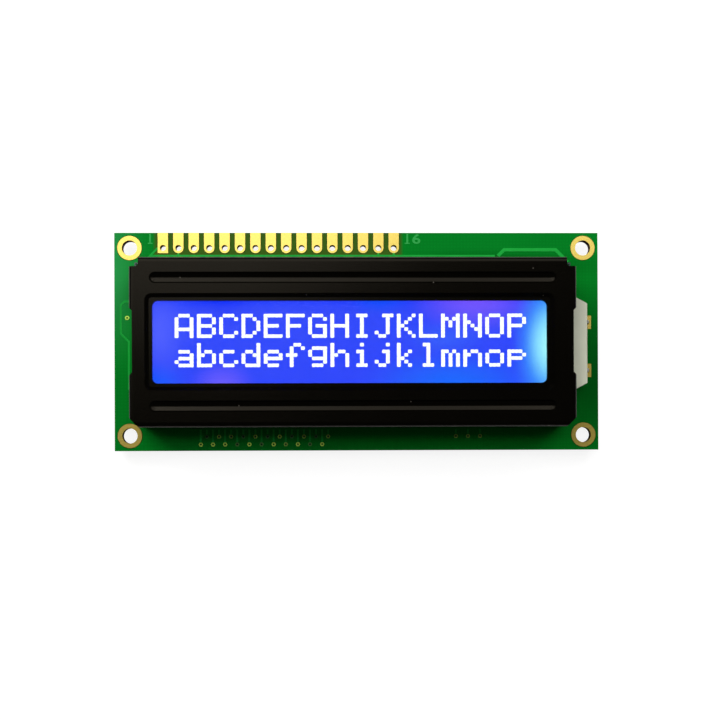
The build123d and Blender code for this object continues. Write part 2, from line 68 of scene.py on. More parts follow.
# %% [markdown]
# Sizes are read from the CAD nodes, so that each new piece sits on the solid that carries it. The board
# lies flat: its front faces up (+Z), the row of header holes is at the far side (+Y).

# %% Places read from the CAD nodes
board_low, board_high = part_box("circuit_board")
glass_low, glass_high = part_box("front_glass")
board_top = board_high.z
board_bottom = board_low.z
film_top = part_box("liquid_crystal_film")[1].z
print("board top and bottom in mm:", round(board_top / mm, 3), round(board_bottom / mm, 3))
print("film top in mm:", round(film_top / mm, 3), "glass starts at", round(glass_low.z / mm, 3))

# %% [markdown]
# The photograph looks straight down from about 20 cm, a little from the left and from the near side. The
# four corner holes and the header row fix the camera: its place, the small tilt of its axis and its lens
# follow from a pinhole fit to them. The frame is moved up by a lens shift, because the module lies a little
# above the middle of the picture.

# %% Camera
camera_place = Vector((-3.9, -18.1, 208.1)) * mm
camera_axis = Vector((0.021, 0.0037, -1.0)).normalized()
camera_roll = 0.0035
lens_mm = 61.98
sensor_mm = 36.0
frame_shift = 0.12
nearest_seen = 10 * mm
farthest_seen = 20.0

camera_data = bpy.data.cameras.new("portrait_camera")
camera_data.lens = lens_mm
camera_data.sensor_width = sensor_mm
camera_data.shift_y = frame_shift
camera_data.clip_start = nearest_seen
camera_data.clip_end = farthest_seen
camera = bpy.data.objects.new("portrait_camera", camera_data)
bpy.context.scene.collection.objects.link(camera)
roll_up = Vector((math.sin(camera_roll), math.cos(camera_roll), 0.0))
camera_right = camera_axis.cross(roll_up).normalized()
camera_up = camera_right.cross(camera_axis)
turn = Matrix((camera_right, camera_up, -camera_axis)).transposed().to_4x4()
camera.matrix_world = Matrix.Translation(camera_place) @ turn
bpy.context.scene.camera = camera
bpy.context.scene.view_settings.view_transform = "Standard"
print("camera stands", round(camera_place.z / mm, 1), "mm above the table, lens", lens_mm, "mm")

# %% [markdown]
# Three helpers serve every material. Colours are chosen as sRGB hex, the way a colour picker gives them,
# and one function turns them to the linear values that the renderer works with. The next adds a shader
# node, sets its properties and fills its sockets, each with a value, a hex colour or a link from another
# node. Some nodes have several sockets of one name, and those are given by number: in a colour Mix node, 0
# is the share, 6 and 7 are the two colours, and output 2 is the mixed one. The last helper starts a
# material with the place on its object, because every pattern here follows the object's own coordinates.

# %% Colour and node helpers
def linear(hex_colour):
    """Linear red, green, blue and alpha of an sRGB hex colour."""
    channels = [int(hex_colour[i:i + 2], 16) / 255 for i in (0, 2, 4)]
    straight = [c / 12.92 if c <= 0.04045 else ((c + 0.055) / 1.055) ** 2.4 for c in channels]
    return (*straight, 1.0)


def add_node(tree, kind, sockets=None, **settings):
    """Adds a node. A socket, by name or number, gets a value, a hex colour or another node's output."""
    node = tree.nodes.new(kind)
    for name, value in settings.items():
        setattr(node, name, value)
    for socket, value in (sockets or {}).items():
        if isinstance(value, bpy.types.NodeSocket):
            tree.links.new(value, node.inputs[socket])
        elif isinstance(value, str):
            node.inputs[socket].default_value = linear(value)
        else:
            node.inputs[socket].default_value = value
    return node


def new_material(name):
    """A material without a shader yet, its node tree, and the place on its object in metres."""
    material = bpy.data.materials.new(name)
    material.use_nodes = True
    tree = material.node_tree
    tree.nodes.clear()
    place = add_node(tree, "ShaderNodeTexCoord").outputs["Object"]
    return material, tree, place


print("white in linear light:", linear("FFFFFF"))

# %% [markdown]
# Some things happen only inside a rectangle seen from above, such as a bare strip of the board. A share
# that rises at one limit and falls at the other gives that, in both directions, with a blurred change.

# %% Inside a rectangle
def between(tree, value, low, high, blur):
    """1 where a value lies between two limits, 0 outside, with a blurred change."""
    rise = add_node(tree, "ShaderNodeMapRange",
                    {"Value": value, "From Min": low - blur, "From Max": low + blur},
                    interpolation_type="SMOOTHSTEP")
    fall = add_node(tree, "ShaderNodeMapRange",
                    {"Value": value, "From Min": high + blur, "From Max": high - blur},
                    interpolation_type="SMOOTHSTEP")
    inner = add_node(tree, "ShaderNodeMath", {0: rise.outputs[0], 1: fall.outputs[0]}, operation="MULTIPLY")
    return inner.outputs[0]


def inside(tree, place, limits, blur):
    """1 inside a rectangle seen from above, 0 outside. Its limits are left, right, near and far."""
    left, right, near, far = limits
    split = add_node(tree, "ShaderNodeSeparateXYZ", {0: place})
    along = between(tree, split.outputs["X"], left, right, blur)
    across = between(tree, split.outputs["Y"], near, far, blur)
    inner = add_node(tree, "ShaderNodeMath", {0: along, 1: across}, operation="MULTIPLY")
    return inner.outputs[0]


print("rectangle helper ready")

# %% [markdown]
# The table is a plain white sheet. What the camera sees of it is mostly its own even glow, so the
# background comes out white without pouring light on the module. A share of it is left as matt paper, which
# keeps a faint shadow under the board. All other rays, mirrored ones too, find plain white paper that
# returns some light from below, because a glowing sheet would draw a pale line along the cover's lower
# bend. The tab slots of the board have a hair of clearance, and under them the paper lies in the module's
# deep shadow, so the glow leaves out a narrow strip there.

# %% Table
table_half_width = 1.5
table_drop = 0.01 * mm
paper_glow = 0.88
shaded_strip_mm = (-34.0, 34.0, -15.1, -13.0)
shaded_strip_blur_mm = 0.1

bpy.ops.object.select_all(action="DESELECT")
bpy.ops.mesh.primitive_plane_add(size=2 * table_half_width, location=(0, 0, -table_drop))
table = bpy.context.object
table.name = "table"
bpy.ops.object.transform_apply(location=True, rotation=True, scale=True)

paper, tree, place = new_material("matt_white_paper")
rays = add_node(tree, "ShaderNodeLightPath")
seen = add_node(tree, "ShaderNodeMath",
                {0: rays.outputs["Is Camera Ray"], 1: rays.outputs["Is Transmission Ray"]},
                operation="MAXIMUM")
sheet = add_node(tree, "ShaderNodeBsdfDiffuse", {"Color": "E6E6E6"})
strip = inside(tree, place, [edge * mm for edge in shaded_strip_mm], shaded_strip_blur_mm * mm)
strength = add_node(tree, "ShaderNodeMapRange", {"Value": strip, "To Min": paper_glow, "To Max": 0.0})
glow = add_node(tree, "ShaderNodeEmission", {"Color": "FFFFFF", "Strength": strength.outputs[0]})
faint_sheet = add_node(tree, "ShaderNodeBsdfDiffuse", {"Color": "8C8C8C"})
shown = add_node(tree, "ShaderNodeAddShader", {0: glow.outputs[0], 1: faint_sheet.outputs[0]})
mixed = add_node(tree, "ShaderNodeMixShader",
                 {0: seen.outputs[0], 1: sheet.outputs[0], 2: shown.outputs[0]})
add_node(tree, "ShaderNodeOutputMaterial", {"Surface": mixed.outputs[0]})
table.data.materials.append(paper)
print("table is", 2 * table_half_width, "m wide")

# %% [markdown]
# The photograph's light is a very large soft box that hangs over the far left: the gilt pads mirror it
# brightly along the far edge and hardly at all along the near edge, and the black cover fades from left to
# right. So the main lamp is a level sheet that starts a little past the point straight above the module,
# and a dimmer wing carries it on to the right. Two smaller lamps stand far back on the diagonals. They
# light the matt parts, and no straight bend or groove of the cover mirrors them to the camera. Each lamp is
# given by its brightness, which is what a mirror would show, and its power follows from its area.

# %% Lamps
lamp_height_mm = 600
key_lamp_size_mm = (500, 400)


def soft_lamp(name, centre_mm, size_mm, brightness, target_mm=(0, 0, 0)):
    """A rectangular lamp at a place in mm, turned to a target, as bright as a surface of that strength."""
    data = bpy.data.lights.new(name, "AREA")
    data.shape = "RECTANGLE"
    data.size = size_mm[0] * mm
    data.size_y = size_mm[1] * mm
    data.energy = brightness * math.pi * data.size * data.size_y
    lamp = bpy.data.objects.new(name, data)
    bpy.context.scene.collection.objects.link(lamp)
    place = Vector(centre_mm) * mm
    aim = (Vector(target_mm) * mm - place).normalized()
    lamp.matrix_world = Matrix.Translation(place) @ aim.to_track_quat("-Z", "Y").to_matrix().to_4x4()
    return lamp


def level_lamp(name, x_range_mm, y_range_mm, brightness):
    """A lamp that hangs level over a rectangle of the table."""
    middle = (sum(x_range_mm) / 2, sum(y_range_mm) / 2)
    size = (x_range_mm[1] - x_range_mm[0], y_range_mm[1] - y_range_mm[0])
    return soft_lamp(name, (*middle, lamp_height_mm), size, brightness, (*middle, 0))


lamps = [
    level_lamp("main_lamp", (-1000, 10), (72, 1040), 1.75),
    level_lamp("main_lamp_wing", (10, 700), (100, 1040), 1.2),
    soft_lamp("left_key_lamp", (-492, 587, 643), key_lamp_size_mm, 6.4),
    soft_lamp("right_key_lamp", (492, 587, 643), key_lamp_size_mm, 3.6),
]
print("lamps:", [lamp.name for lamp in lamps])

# %% [markdown]
# The room behind the lamps is dim, so that dark parts and what they mirror stay dark. Only the camera finds
# it white, like the table.

# %% Room
room_strength = 0.06

world = bpy.data.worlds.new("room")
bpy.context.scene.world = world
world.use_nodes = True
tree = world.node_tree
tree.nodes.clear()
rays = add_node(tree, "ShaderNodeLightPath")
dim = add_node(tree, "ShaderNodeBackground", {"Color": "FFFFFF", "Strength": room_strength})
white = add_node(tree, "ShaderNodeBackground", {"Color": "FFFFFF", "Strength": 1.0})
mixed = add_node(tree, "ShaderNodeMixShader",
                 {0: rays.outputs["Is Camera Ray"], 1: dim.outputs[0], 2: white.outputs[0]})
add_node(tree, "ShaderNodeOutputWorld", {"Surface": mixed.outputs[0]})
print("room strength", room_strength)

# %% [markdown]
# A few patterns come back in several finishes. Most are two tones mottled by a noise of the material's own
# grain. The board and the lit display also change their tone over a distance without an edge, which soft
# oval patches give: each has a name, a centre, a reach, a colour and a strength. On the board these patches
# are painted light and shade. And what is drilled or cut shows only between the two faces of the board.

# %% Patterns that come back
def mottled(tree, place, grain_mm, detail, first, second):
    """Two tones mixed by a noise of a grain size. Gives the mixed tone and the noise."""
    noise = add_node(tree, "ShaderNodeTexNoise",
                     {"Vector": place, "Scale": 1 / (grain_mm * mm), "Detail": detail}).outputs["Fac"]
    tone = add_node(tree, "ShaderNodeMix", {0: noise, 6: first, 7: second}, data_type="RGBA")
    return tone.outputs[2], noise


def mottled_finish(name, grain_mm, detail, tones, sockets):
    """A material of two mottled tones. The shader's other sockets are given as they are."""
    material, tree, place = new_material(name)
    tone = mottled(tree, place, grain_mm, detail, *tones)[0]
    shader = add_node(tree, "ShaderNodeBsdfPrincipled", {"Base Color": tone, **sockets})
    add_node(tree, "ShaderNodeOutputMaterial", {"Surface": shader.outputs[0]})
    return material


def soft_patches(tree, place, tint, patches):
    """Mixes patches into a tint one after another, each fading out from its centre to its reach."""
    for name, centre_mm, reach_mm, patch_colour, strength in patches:
        spread = (1 / (reach_mm[0] * mm), 1 / (reach_mm[1] * mm), 0.0)
        start = (-centre_mm[0] * mm * spread[0], -centre_mm[1] * mm * spread[1], 0.0)
        moved = add_node(tree, "ShaderNodeMapping", {"Vector": place, "Location": start, "Scale": spread},
                         label=name)
        away = add_node(tree, "ShaderNodeVectorMath", {0: moved.outputs[0]}, operation="LENGTH")
        soft = add_node(tree, "ShaderNodeMapRange",
                        {"Value": away.outputs["Value"], "From Min": 1.0, "From Max": 0.0,
                         "To Max": strength}, interpolation_type="SMOOTHSTEP")
        tint = add_node(tree, "ShaderNodeMix", {0: soft.outputs[0], 6: tint, 7: patch_colour},
                        data_type="RGBA").outputs[2]
    return tint


def between_faces(tree, place, skin):
    """1 between the two faces of the board, less a skin on each, and 0 elsewhere."""
    height = add_node(tree, "ShaderNodeSeparateXYZ", {0: place}).outputs["Z"]
    below_top = add_node(tree, "ShaderNodeMath", {0: height, 1: board_top - skin}, operation="LESS_THAN")
    above_bottom = add_node(tree, "ShaderNodeMath", {0: height, 1: board_bottom + skin},
                            operation="GREATER_THAN")
    inner = add_node(tree, "ShaderNodeMath", {0: below_top.outputs[0], 1: above_bottom.outputs[0]},
                     operation="MULTIPLY")
    return inner.outputs[0]


print("pattern helpers ready")

# %% [markdown]
# The board is FR-4: glass cloth in epoxy resin, with a green solder mask printed on both faces and cured.
# The mask is a glossy, slightly see-through green; the cloth below shows as a faint weave of about half a
# millimetre. The cut edges and the drilled walls have no mask, so they show the pale brown resin. One
# material tells the three apart by height, because the board lies flat. The strip of the header pads, up to
# the cover, is painted a darker and browner green: painted shade between the pads and by the cover. Soft
# patches paint light along the left end, and shade towards the right and along the far side of the cover.
#
# The weave is two wave textures, one for each direction of the threads. At a scale of 1 their bands repeat
# every 0.314 m, so that length over the pitch is the scale. The sum of weave and cloud runs from 0 to about
# 2, and the range that turns it to a share is wider, so the two greens stay close.

# %% Solder mask over glass laminate
weave_pitch_mm = 0.55
wave_repeat = 0.314
cloud_mm = 11.111
cloth_range = (-0.6, 2.2)
fibre_mm = 0.25
mask_skin = 0.03 * mm
# The strip of the header pads that is painted darker, as shade between the pads and by the cover.
pad_strip_painted_shade_mm = (-33.4, 7.4, 13.7, 18.5)
pad_strip_painted_shade_blur_mm = 0.35
# Painted light and shade on the board: a lighter left end, a darker right end and painted shadow along the
# far side of the cover.
board_painted_light_and_shade = [
    ("painted_light_left", (-41.0, 11.0), (7.5, 18.0), "2E9C50", 0.8),
    ("painted_shade_right", (42.0, -6.0), (13.0, 20.0), "00460E", 0.9),
    ("painted_shadow_near_cover", (22.0, 12.6), (26.0, 3.2), "00500E", 0.95),
]

board_finish, tree, place = new_material("solder_mask_printed_on_glass_laminate")
threads = [
    add_node(tree, "ShaderNodeTexWave",
             {"Vector": place, "Scale": wave_repeat / (weave_pitch_mm * mm), "Distortion": 0.6,
              "Detail": 1.0},
             wave_type="BANDS", bands_direction=direction).outputs["Fac"]
    for direction in ("X", "Y")
]
weave = add_node(tree, "ShaderNodeMath", {0: threads[0], 1: threads[1]}, operation="MULTIPLY").outputs[0]
cloud = add_node(tree, "ShaderNodeTexNoise", {"Vector": place, "Scale": 1 / (cloud_mm * mm), "Detail": 3.0})
cloth = add_node(tree, "ShaderNodeMath", {0: weave, 1: cloud.outputs["Fac"]}, operation="ADD")
share = add_node(tree, "ShaderNodeMapRange",
                 {"Value": cloth.outputs[0], "From Min": cloth_range[0], "From Max": cloth_range[1]})
green = add_node(tree, "ShaderNodeMix", {0: share.outputs[0], 6: "02701E", 7: "048A24"}, data_type="RGBA")
green = soft_patches(tree, place, green.outputs[2], board_painted_light_and_shade)
# Painted shade: the pad strip by the cover is mixed to a darker, browner green.
bare = inside(tree, place, [edge * mm for edge in pad_strip_painted_shade_mm], pad_strip_painted_shade_blur_mm * mm)
green = add_node(tree, "ShaderNodeMix", {0: bare, 6: green, 7: "3C5C18"}, data_type="RGBA")
resin = mottled(tree, place, fibre_mm, 2.0, "8A7A4C", "C8BE96")[0]
cut = between_faces(tree, place, mask_skin)
colour = add_node(tree, "ShaderNodeMix", {0: cut, 6: green.outputs[2], 7: resin}, data_type="RGBA")
gloss = add_node(tree, "ShaderNodeMapRange", {"Value": cut, "To Min": 0.38, "To Max": 0.7})
bump = add_node(tree, "ShaderNodeBump", {"Height": weave, "Strength": 0.08, "Distance": 0.02 * mm})
shader = add_node(tree, "ShaderNodeBsdfPrincipled",
                  {"Base Color": colour.outputs[2], "Roughness": gloss.outputs[0], "Normal": bump.outputs[0],
                   "Specular IOR Level": 0.12, "Specular Tint": "60FF90"})
add_node(tree, "ShaderNodeOutputMaterial", {"Surface": shader.outputs[0]})
print("board finish made, weave pitch", weave_pitch_mm, "mm")

# %% [markdown]
# Copper under the mask stands a little proud and throws light back through the green, so tracks look paler
# than the bare laminate beside them.

# %% Copper track under solder mask
track_finish = mottled_finish(
    "copper_track_under_solder_mask", 2.0, 3.0, ("069A2C", "22B044"),
    {"Roughness": 0.3, "Specular IOR Level": 0.3, "Specular Tint": "90FFA8"})
print("made", track_finish.name)

# %% [markdown]
# The pads and rings are immersion gold over nickel on copper. The gold is thin and slightly matt, so it
# spreads the lamp's reflection, and its colour is a strong yellow. Fine speckle from the plating breaks up
# the sheen. Down in the holes the walls of the barrels are painted a dull dark brown, which is painted
# shade inside the holes.

# %% Immersion gold
speckle_mm = 0.2857

gold_finish, tree, place = new_material("immersion_gold_on_copper")
tone, speckle = mottled(tree, place, speckle_mm, 2.0, "F8D260", "FFEA78")
# Painted shade: the barrel walls between the board's faces are mixed to dark brown and made dull.
shaded_barrel_wall = between_faces(tree, place, 0.0)
tone = add_node(tree, "ShaderNodeMix", {0: shaded_barrel_wall, 6: tone, 7: "4E3410"}, data_type="RGBA")
metal = add_node(tree, "ShaderNodeMapRange", {"Value": shaded_barrel_wall, "To Min": 0.7, "To Max": 0.0})
matt = add_node(tree, "ShaderNodeMapRange", {"Value": speckle, "To Min": 0.17, "To Max": 0.25})
matt = add_node(tree, "ShaderNodeMapRange", {"Value": shaded_barrel_wall, "To Min": matt.outputs[0], "To Max": 0.95})
bump = add_node(tree, "ShaderNodeBump", {"Height": speckle, "Strength": 0.15, "Distance": 0.01 * mm})
shader = add_node(tree, "ShaderNodeBsdfPrincipled",
                  {"Base Color": tone.outputs[2], "Metallic": metal.outputs[0], "Roughness": matt.outputs[0],
                   "Normal": bump.outputs[0]})
add_node(tree, "ShaderNodeOutputMaterial", {"Surface": shader.outputs[0]})
print("made", gold_finish.name)

# %% [markdown]
# The small vias are copper rings that the mask should cover. It has left some of them open, and those are
# gilt. How much of each ring is open is told by its place in its row, with a colour ramp that holds one
# flat step for each ring. The high row stands half a pitch further on than the low row. The one via up
# beside the left edge is open.

# %% Open and covered vias
via_pitch_mm = 2.0
first_via_mm = -25.85
between_rows_mm = -16.3
low_row_open_shares = (1.0, 1.0, 1.0, 0.1, 1.0, 0.1, 1.0, 0.4, 1.0, 0.1, 1.0)
high_row_open_shares = (0.05, 0.5, 0.35, 0.05, 0.6, 0.05, 0.6, 0.05, 0.45, 0.05, 0.4)


def open_shares(tree, along, first_mm, shares):
    """How much of a ring is open, told by its place along a row that starts with its first ring."""
    start = (first_mm - via_pitch_mm / 2) * mm
    end = start + via_pitch_mm * len(shares) * mm
    position = add_node(tree, "ShaderNodeMapRange", {"Value": along, "From Min": start, "From Max": end})
    ramp = add_node(tree, "ShaderNodeValToRGB", {0: position.outputs[0]})
    ramp.color_ramp.interpolation = "CONSTANT"
    steps = ramp.color_ramp.elements
    while len(steps) < len(shares):
        steps.new(1.0)
    for number, share in enumerate(shares):
        steps[number].position = number / len(shares)
        steps[number].color = (share, share, share, 1.0)
    return ramp.outputs["Color"]


via_finish, tree, place = new_material("gilt_and_covered_via_rings")
split = add_node(tree, "ShaderNodeSeparateXYZ", {0: place})
low_row = open_shares(tree, split.outputs["X"], first_via_mm, low_row_open_shares)
high_row = open_shares(tree, split.outputs["X"], first_via_mm + via_pitch_mm / 2, high_row_open_shares)
in_low_row = add_node(tree, "ShaderNodeMath", {0: split.outputs["Y"], 1: between_rows_mm * mm},
                      operation="LESS_THAN")
opened = add_node(tree, "ShaderNodeMix", {0: in_low_row.outputs[0], 6: high_row, 7: low_row},
                  data_type="RGBA")
far_up = add_node(tree, "ShaderNodeMath", {0: split.outputs["Y"], 1: 0.0}, operation="GREATER_THAN")
opened = add_node(tree, "ShaderNodeMix", {0: far_up.outputs[0], 6: opened.outputs[2], 7: "FFFFFF"},
                  data_type="RGBA")
tone = add_node(tree, "ShaderNodeMix", {0: opened.outputs[2], 6: "1E7034", 7: "D4FF62"}, data_type="RGBA")
shader = add_node(tree, "ShaderNodeBsdfPrincipled",
                  {"Base Color": tone.outputs[2], "Roughness": 0.4, "Specular IOR Level": 0.2})
add_node(tree, "ShaderNodeOutputMaterial", {"Surface": shader.outputs[0]})
print("via finish made for rows of", len(low_row_open_shares))

# %% [markdown]
# The bezel is pressed steel, spray-painted semi-matte black. Such paint reflects very little straight on,
# has a warm, slightly brown cast, and a fine grain of a sixth of a millimetre that breaks up the highlight.
# A speck of pale dust lies here and there. A cover pressed from thin sheet is never quite flat: towards the
# right the face leans a few degrees to the near side, so it no longer mirrors the lamp and turns deep
# black. A smooth twist in the bump gives that, because it changes only the shading.

# %% Black paint sprayed on pressed steel
paint_grain_mm = 0.16
paint_cloud_mm = 8.333
dust_spacing_mm = 14.0
dust_size_mm = 0.26
bow_start = -20.0 * mm
bow_length = 0.1
bow_per_metre = 1.1

paint_finish, tree, place = new_material("black_paint_sprayed_on_pressed_steel")
grain = add_node(tree, "ShaderNodeTexNoise",
                 {"Vector": place, "Scale": 1 / (paint_grain_mm * mm), "Detail": 2.0, "Roughness": 0.6})
tone = add_node(tree, "ShaderNodeMix", {0: grain.outputs["Fac"], 6: "010100", 7: "040302"},
                data_type="RGBA")
scattered = add_node(tree, "ShaderNodeTexVoronoi", {"Vector": place, "Scale": 1 / (dust_spacing_mm * mm)},
                     voronoi_dimensions="2D")
dust_reach = dust_size_mm / dust_spacing_mm / 2
dust = add_node(tree, "ShaderNodeMapRange",
                {"Value": scattered.outputs["Distance"], "From Min": dust_reach, "From Max": 0.0})
tone = add_node(tree, "ShaderNodeMix", {0: dust.outputs[0], 6: tone.outputs[2], 7: "66625A"},
                data_type="RGBA")
cloud = add_node(tree, "ShaderNodeTexNoise",
                 {"Vector": place, "Scale": 1 / (paint_cloud_mm * mm), "Detail": 2.0})
matt = add_node(tree, "ShaderNodeMapRange", {"Value": cloud.outputs["Fac"], "To Min": 0.18, "To Max": 0.23})
split = add_node(tree, "ShaderNodeSeparateXYZ", {0: place})
along = add_node(tree, "ShaderNodeMapRange",
                 {"Value": split.outputs["X"], "From Min": bow_start, "From Max": bow_start + bow_length,
                  "To Max": bow_length * bow_per_metre})
twist = add_node(tree, "ShaderNodeMath", {0: along.outputs[0], 1: split.outputs["Y"]}, operation="MULTIPLY")
bow = add_node(tree, "ShaderNodeBump", {"Height": twist.outputs[0], "Strength": 1.0, "Distance": 1.0})
bump = add_node(tree, "ShaderNodeBump",
                {"Height": grain.outputs["Fac"], "Strength": 0.2, "Distance": 0.02 * mm,
                 "Normal": bow.outputs[0]})
shader = add_node(tree, "ShaderNodeBsdfPrincipled",
                  {"Base Color": tone.outputs[2], "Roughness": matt.outputs[0], "Specular IOR Level": 0.16,
                   "Specular Tint": "FFF2D8", "Normal": bump.outputs[0]})
add_node(tree, "ShaderNodeOutputMaterial", {"Surface": shader.outputs[0]})
print("bezel paint made, grain", paint_grain_mm, "mm")

# %% [markdown]
# The display is lit from behind by LEDs at its right-hand end. Seen through the liquid crystal the light is
# a strong blue, but not an even one: it leans to violet at the left and along the far edge, to azure at the
# near right, and next to the LEDs it runs to a pale cyan glow. The film glows by itself here, and a few
# broad soft patches, each with its place, reach and tint, give the unevenness.

# %% Lit liquid crystal
ripple_mm = 6.25
film_light = 1.82
tint_patches = [
    ("violet_left", (-33.0, 1.0), (7.0, 9.0), "4859FC", 1.0),
    ("deep_blue", (-22.0, 7.0), (7.0, 5.0), "002AF4", 0.9),
    ("azure_corner", (-32.0, -8.0), (5.5, 5.0), "0055FD", 0.95),
    ("violet_near", (-21.8, -7.5), (6.0, 4.5), "6455FB", 0.95),
    ("clear_blue", (3.4, 6.8), (6.0, 4.0), "004CF8", 0.85),
    ("violet_far", (19.0, 6.5), (12.0, 6.5), "7353FB", 0.95),
    ("azure_near", (15.5, -7.5), (17.0, 6.5), "0064FB", 0.95),
    ("azure_middle", (14.0, 0.0), (8.0, 3.5), "2D59F8", 0.8),
    ("azure_end", (31.0, -1.0), (6.5, 14.0), "43B9FD", 1.0),
    ("pale_glow", (31.2, -1.0), (4.5, 8.0), "A9FDFD", 0.95),
]

crystal_finish, tree, place = new_material("liquid_crystal_lit_from_behind")
tint = mottled(tree, place, ripple_mm, 2.0, "1F3CF6", "2942F9")[0]
tint = soft_patches(tree, place, tint, tint_patches)
shader = add_node(tree, "ShaderNodeBsdfPrincipled",
                  {"Base Color": "020418", "Roughness": 0.4, "Emission Color": tint,
                   "Emission Strength": film_light})
add_node(tree, "ShaderNodeOutputMaterial", {"Surface": shader.outputs[0]})
print("display tints:", len(tint_patches))

# %% [markdown]
# The front polariser is a film with a faint gloss, and the glass below it is plain float glass, cut with a
# ground edge. Both pass nearly all of the light of the display. They are made as clear, thinly tinted
# layers and not as refracting blocks, because at their thickness a refraction can't be seen, and the
# display stays crisp. The ground edges of the glass are nearly opaque, so nothing shines through the stack
# from the side.

# %% Polariser and glass
haze_mm = 1.1111
smear_mm = 2.5
ground_edge = 0.2 * mm

polariser_finish, tree, place = new_material("polarising_film_with_gloss_face")
haze = add_node(tree, "ShaderNodeTexNoise", {"Vector": place, "Scale": 1 / (haze_mm * mm), "Detail": 3.0})
matt = add_node(tree, "ShaderNodeMapRange", {"Value": haze.outputs["Fac"], "To Min": 0.1, "To Max": 0.2})
shader = add_node(tree, "ShaderNodeBsdfPrincipled",
                  {"Base Color": "0A0E24", "Roughness": matt.outputs[0], "Alpha": 0.22,
                   "Specular IOR Level": 0.2})
add_node(tree, "ShaderNodeOutputMaterial", {"Surface": shader.outputs[0]})

glass_finish, tree, place = new_material("cut_float_glass")
clear_limits = (glass_low.x + ground_edge, glass_high.x - ground_edge,
                glass_low.y + ground_edge, glass_high.y - ground_edge)
clear = inside(tree, place, clear_limits, ground_edge / 2)
tone = add_node(tree, "ShaderNodeMix", {0: clear, 6: "26363C", 7: "6E8C82"}, data_type="RGBA")
see_through = add_node(tree, "ShaderNodeMapRange", {"Value": clear, "To Min": 0.94, "To Max": 0.05})
smear = add_node(tree, "ShaderNodeTexNoise", {"Vector": place, "Scale": 1 / (smear_mm * mm), "Detail": 2.0})
matt = add_node(tree, "ShaderNodeMapRange", {"Value": smear.outputs["Fac"], "To Min": 0.04, "To Max": 0.12})
shader = add_node(tree, "ShaderNodeBsdfPrincipled",
                  {"Base Color": tone.outputs[2], "Roughness": matt.outputs[0],
                   "Alpha": see_through.outputs[0]})
add_node(tree, "ShaderNodeOutputMaterial", {"Surface": shader.outputs[0]})
print("made", polariser_finish.name, "and", glass_finish.name)

# %% [markdown]
# The remaining finishes are simple mixtures: two mottled tones, a roughness that varies a little with them,
# and a small bump. Moulded, fired and rubber parts look matt and speckled, the tin mirrors the lamps
# softly, and the dripped epoxy is a deep black with a wet gloss. A table names each with what it is, and
# one loop makes them, because they differ only in these values.

# %% Plain finishes
# name: first tone, second tone, grain in mm, roughness, metallic, alpha
plain_finishes = {
    "polycarbonate_moulded_matt": ("DADCC4", "E6E8D0", 1.6, 0.55, 0.0, 1.0),
    "acrylic_polished_clear": ("E6EEF0", "F2F8FA", 2.0, 0.12, 0.0, 0.35),
    "polyester_film_white": ("D6D8D6", "E4E6E4", 1.0, 0.6, 0.0, 1.0),
    "polarising_film_rear": ("6A7284", "7C8496", 1.2, 0.25, 0.0, 1.0),
    "silicone_rubber_zebra": ("8A8A8C", "A6A6A8", 0.5, 0.75, 0.0, 1.0),
    "epoxy_sealant_cured": ("C0B694", "D2CAAC", 0.6, 0.45, 0.0, 1.0),
    "led_package_moulded": ("E0D488", "F0E6A4", 0.5, 0.4, 0.0, 1.0),
    "tin_plated_bright": ("B8BABA", "D6D8D6", 0.25, 0.28, 1.0, 1.0),
    "alumina_chip_glazed_black": ("17181A", "26282A", 0.3, 0.35, 0.0, 1.0),
    "titanate_chip_fired_brown": ("8C6844", "A47C54", 0.25, 0.5, 0.0, 1.0),
    "epoxy_dripped_black_cured": ("08080A", "131316", 1.4, 0.24, 0.0, 1.0),
}
roughness_swing = 0.05


def plain_finish(name):
    """A two-toned material with grain, from its row in the table."""
    first, second, grain_mm, roughness, metallic, alpha = plain_finishes[name]
    material, tree, place = new_material(name)
    tone, grain = mottled(tree, place, grain_mm, 3.0, first, second)
    matt = add_node(tree, "ShaderNodeMapRange",
                    {"Value": grain, "To Min": roughness - roughness_swing,
                     "To Max": roughness + roughness_swing})
    bump = add_node(tree, "ShaderNodeBump", {"Height": grain, "Strength": 0.2, "Distance": 0.03 * mm})
    shader = add_node(tree, "ShaderNodeBsdfPrincipled",
                      {"Base Color": tone, "Roughness": matt.outputs[0], "Metallic": metallic,
                       "Alpha": alpha, "Normal": bump.outputs[0]})
    add_node(tree, "ShaderNodeOutputMaterial", {"Surface": shader.outputs[0]})
    return material


made = {name: plain_finish(name) for name in plain_finishes}
print("plain finishes:", len(made))

# %% [markdown]
# Each CAD node keeps its mesh and gets its finish in its material slot.

